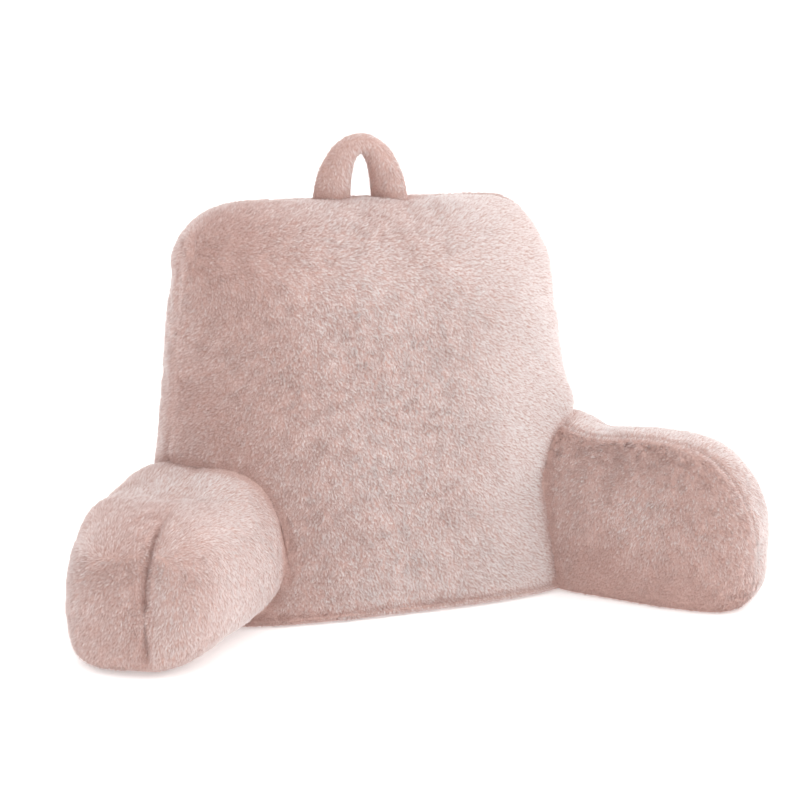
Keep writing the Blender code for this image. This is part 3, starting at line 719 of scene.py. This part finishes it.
def growPile(name, form, weight, count, salt):
    # each blade is a triangle whose tip leans from its root along the nap and is drawn to its clump's middle
    draw = np.random.default_rng(salt)
    blend = sampleForm(form, weight, count, draw)
    root = blend(form["skin"])
    normal = unit(blend(form["normals"]))
    nap = blend(form["nap"])
    nap = unit(nap - normal * (nap * normal).sum(axis=1, keepdims=True))
    length = pile["length"] * blend(form["length"])[:, 0]
    seam = blend(form["seam"])[:, 0]
    joint = blend(form["joint"])[:, 0]
    lying = blend(form["lying"])[:, 0]
    calm = blend(form["calm"])[:, 0]
    brushed = blend(form["brushed"])[:, 0] + pile["noise"] * slowNoise(root, *pile["brushedWave"])
    # the pale field is painted light and shade, with a slow random tone on top
    pale = blend(form["pale"])[:, 0] + pile["noise"] * slowNoise(root, *pile["paleWave"])
    # painted light and shade in patches, and smoother or rougher hair
    for x, y, z, reach, lightAndShade, smoother in form["patches"]:
        near = groove(np.linalg.norm(root - (x, y, z), axis=1), reach)
        pale += lightAndShade * near
        brushed += smoother * near
    brushed, pale = np.clip(brushed, -1, 1), np.clip(pale, -pile["paintedLightMost"], pile["paintedLightMost"])
    keep = root[:, 2] > pile["rootLowest"]
    if form["cutByBackrest"]:
        keep &= ~insideBackrest(root, pile["sunk"])
    root, normal, nap, length, seam, joint, lying, calm, brushed, pale = (
        f[keep] for f in (root, normal, nap, length, seam, joint, lying, calm, brushed, pale))
    count = len(root)

    centre, clump = nearestTuft(root, pile["clump"], pile["clumpSalt"])
    toCentre = centre - root
    toCentre -= normal * (toCentre * normal).sum(axis=1, keepdims=True)
    across = np.cross(normal, nap)
    slow, wave, waveSalt = pile["swingSlow"]
    swing = (clump[:, :1] - 0.5) * 2 * pile["clumpLean"] + slow * slowNoise(root, wave, waveSalt)[:, None]
    tuft = nearestTuft(root, pile["tuft"], pile["tuftSalt"])[1]
    swing = swing + (tuft[:, :1] - 0.5) * 2 * pile["tuftLean"]
    way = unit(nap + across * swing * ((1.0 - pile["brushedSwing"] * brushed) * (1 - calm))[:, None])
    lean = pile["lean"] + pile["clumpRise"] * (clump[:, 1:2] - 0.5) + pile["tuftRise"] * (tuft[:, 1:2] - 0.5)
    lean = lean + pile["brushedLean"] * np.maximum(brushed, 0)[:, None] + pile["lyingLean"] * lying[:, None]
    lean = np.radians(np.maximum(lean, pile["leastLean"]) - pile["seamRise"] * seam[:, None])
    stray = draw.normal(size=(count, 3)) * pile["stray"] * (1 - pile["brushedStray"] * brushed[:, None])
    way = unit(normal * np.cos(lean) + way * np.sin(lean) + stray)
    edge = np.clip(np.linalg.norm(toCentre, axis=1) / pile["clump"], 0, 1)
    long = pile["long"]
    uneven = long["least"] + long["clump"] * clump[:, 2] + long["blade"] * draw.uniform(-1, 1, count)
    length = length * (uneven - long["edge"] * edge) * (1 - long["seam"] * seam - long["joint"] * joint)
    pull = pile["clumpPull"] - pile["brushedPull"] * brushed[:, None]
    raised = pile["tuftTall"] * (tuft[:, 2:3] - 0.5) * 2 * (1 - pile["brushedFlat"] * brushed[:, None])
    tip = root + way * length[:, None] + pull * toCentre + normal * raised

    blade = unit(tip - root)
    side = unit(np.cross(normal, blade))
    turn = np.radians(pile["twist"]) * draw.uniform(-1, 1, (count, 1))
    side = side * np.cos(turn) + np.cross(blade, side) * np.sin(turn)
    half = 0.5 * pile["width"] * (pile["widths"][0] + pile["widths"][1] * draw.uniform(0, 1, (count, 1)))
    places = np.stack([root - side * half, root + side * half, tip], axis=1)
    places[:, :, 2] = np.maximum(places[:, :, 2], pile["tipLowest"])

    faceNormal = unit(np.cross(blade, side))
    share = pile["normalShare"] * (1 - pile["seamNormal"] * seam[:, None])
    shaded = unit(faceNormal * (1 - share) + normal * share)
    shaded = np.repeat(shaded[:, None, :], 3, axis=1)

    slow, wave, waveSalt = pile["toneSlow"]
    tone = pile["clumpTone"] * (clump[:, 3] - 0.5) * 2 + pile["bladeTone"] * draw.normal(size=count)
    # painted shade in the gaps between clumps: a blade at a clump's edge is darker, one near its middle lighter
    tone += pile["tuftTone"] * (tuft[:, 3] - 0.5) * 2 - pile["clumpGapShade"] * (edge - pile["clumpMiddle"])
    tone = 0.5 + tone * (1 - pile["brushedEven"] * brushed) + slow * slowNoise(root, wave, waveSalt)
    # along the seams the tone is darker: partly their own deeper colour, partly painted shade in the crease
    # painted light and shade from the pale field
    # painted shade where the arms and the loop meet the backrest
    tone += pile["paintedLightTone"] * pale - pile["seamShadeTone"] * seam - pile["jointShade"] * joint
    # painted shade along the bottom, where the pillow meets the floor
    tone -= pile["floorShade"] * groove(root[:, 2], pile["floorShadeReach"])
    return bladeMesh(name, places, shaded, np.clip(tone, 0.02, 0.98))


def bladeMesh(name, places, shaded, tone):    # in its UV map, u is the blade's tone and v runs from root to tip
    count = len(places)
    index = (np.arange(count)[:, None] * 3 + np.array([1, 0, 2])).ravel()
    wide = np.array([0.004, -0.004, 0])
    tall = np.array([0.02, 0.02, 0.98])
    uv = np.stack([tone[:, None] + wide, np.repeat(tall[None], count, axis=0)], axis=2)
    mesh = bpy.data.meshes.new(name)
    mesh.vertices.add(count * 3)
    mesh.vertices.foreach_set("co", (places - footprintMiddle).astype(np.float32).ravel())
    mesh.loops.add(len(index))
    mesh.loops.foreach_set("vertex_index", index.astype(np.int32))
    mesh.polygons.add(count)
    mesh.polygons.foreach_set("loop_start", np.arange(0, len(index), 3, dtype=np.int32))
    mesh.update(calc_edges=True)
    mesh.shade_smooth()
    layer = mesh.uv_layers.new(name="OFBake")
    layer.uv.foreach_set("vector", uv.astype(np.float32).ravel())
    mesh.normals_split_custom_set_from_vertices(shaded.reshape(-1, 3))
    thing = bpy.data.objects.new(name, mesh)
    bpy.context.scene.collection.objects.link(thing)
    say(name, count, "blades")
    return thing


def pileColour(tree):                         # both ramps run from root to tip, and the tone blends them
    uv = addNode(tree, "ShaderNodeUVMap", {"uv_map": "OFBake"}, {})[0]
    tone, tall, _ = addNode(tree, "ShaderNodeSeparateXYZ", {}, {"Vector": uv})
    deep = addNode(tree, "ShaderNodeValToRGB", {"stops": pile["deep"]}, {"Fac": tall})[0]
    pale = addNode(tree, "ShaderNodeValToRGB", {"stops": pile["pale"]}, {"Fac": tall})[0]
    return addNode(tree, "ShaderNodeMix", {"data_type": "RGBA"}, {"Factor": tone, "A": deep, "B": pale})[0]


def pillowForms():
    # the four outer forms with their hollows, sunk where they are sewn to each other, then stuffed
    forms = {"backrest": backrestForm()}
    forms.update({name: armForm(arm) for name, arm in arms.items()})
    forms["handle"] = loopForm()
    for name, form in forms.items():
        form["joint"] = 0 * form["depth"]
        form["cutByBackrest"] = name != "backrest"
        form["patches"] = backrest["patches"] if name == "backrest" else armPatches.get(name, [])
        for x, y, z, reach, low in backrest["lows"] if name == "backrest" else armLows.get(name, []):
            away = np.linalg.norm(form["points"] - (x, y, z), axis=2)
            form["swell"] = form["swell"] + low * groove(away, reach)
    for name in forms:
        if name != "backrest":
            deep, reach = armShape["joint"] if name in arms else loop["joint"]
            for form, near in zip((forms["backrest"], forms[name]), between(forms["backrest"], forms[name])):
                form["joint"] = np.maximum(form["joint"], groove(near, reach))
                form["depth"] = form["depth"] + deep * groove(near, reach)
    for name, form in forms.items():
        settle(form, skin["loopUnder"] if name == "handle" else skin["under"])
        if name != "handle":
            inflate(name, form)
    say("forms")
    return forms


def makeSkins(forms):
    # the arms and the loop are cut by a slightly swollen backrest
    backing = newPaint("plushBacking", skin["finish"], backingColour)
    skins = {}
    for name, form in forms.items():
        if name == "backrest":
            form["skin"][0, :, 2] = skin["offFloor"]
        if name != "handle":
            form["skin"][..., 2] = np.maximum(form["skin"][..., 2], skin["offFloor"])
        skins[name] = skinMesh(name + "_skin", form["skin"], capLast=name == "handle")
    back = forms["backrest"]["skin"]
    swollen = skinMesh("swollenBackrest", back + outward(back) * skin["sewnGap"], capLast=False)
    for name in forms:
        if name != "backrest":
            cut(skins[name], swollen)
    for thing in skins.values():
        applyModifiers(thing)
        thing.data.materials.clear()
        thing.data.materials.append(backing)
        say(thing.name, len(thing.data.polygons), "faces")
    bpy.data.objects.remove(swollen)
    return skins


def combHair(name, form):
    # each direction comes in smoothly where the normal passes its own limit
    def facing(share, limits):
        return smoothStep((share - limits[0]) / limits[1])

    x, y, z = (form["normals"][..., axis:axis + 1] for axis in range(3))
    lying = facing(z, comb["onTop"])
    if name in arms:
        lying = lying * form["lay"][..., None]
    sides = facing(np.abs(x), comb["onSide"])
    behind = facing(y, comb["onRear"]) * (1 - lying)
    nap = form["nap"] * (1 - comb["topShare"] * lying) + lying * np.array(comb["top"])
    nap = nap + sides * np.array(comb["side"])
    form["nap"] = nap * (1 - behind) + behind * np.array(comb["rear"])
    form["calm"] = np.maximum(comb["calm"] * sides, comb["calm"] * lying)[..., 0]
    form["lying"] = np.maximum(lying, comb["rightLying"] * facing(x, comb["toRight"]))[..., 0]
    form["length"] = np.ones(form["seam"].shape)
    if name == "handle":
        form["length"] = form["length"] * pile["loopLong"]
        form["lying"] = np.maximum(form["lying"], comb["loopLying"])
    if name == "backrest":
        form["lying"] = np.maximum(form["lying"], comb["nearTopLying"] * form["nearTop"])


def plantPile(forms):
    # the backrest's pile is planted in four parts, front and rear, left and right
    fibres = newPaint("plushPile", pile["finish"], pileColour)
    made = []
    for index, (name, form) in enumerate(forms.items()):
        combHair(name, form)
        parts = [(name + "_pile", np.ones_like(form["seam"]), 1.0)]
        if name == "backrest":
            front, left = form["front"], (form["skin"][..., 0] < 0).astype(float)
            rear, right = 1 - front, 1 - left
            parts = [("front_left_pile", front * left, 0.25), ("front_right_pile", front * right, 0.25),
                     ("rear_left_pile", rear * left, 0.25), ("rear_right_pile", rear * right, 0.25)]
        total = int(pile["total"] * pile["shares"][name])
        for number, (label, weight, share) in enumerate(parts):
            made.append((name, growPile(label, form, weight, int(total * share), 100 + 10 * index + number)))
            made[-1][1].data.materials.append(fibres)
    return made


forms = pillowForms()
skins = makeSkins(forms)
piles = plantPile(forms)
for name, thing in skins.items():
    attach(thing, "root")
    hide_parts(name)
for name, thing in piles:
    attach(thing, "root")
    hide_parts(name)

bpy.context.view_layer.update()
say("done")
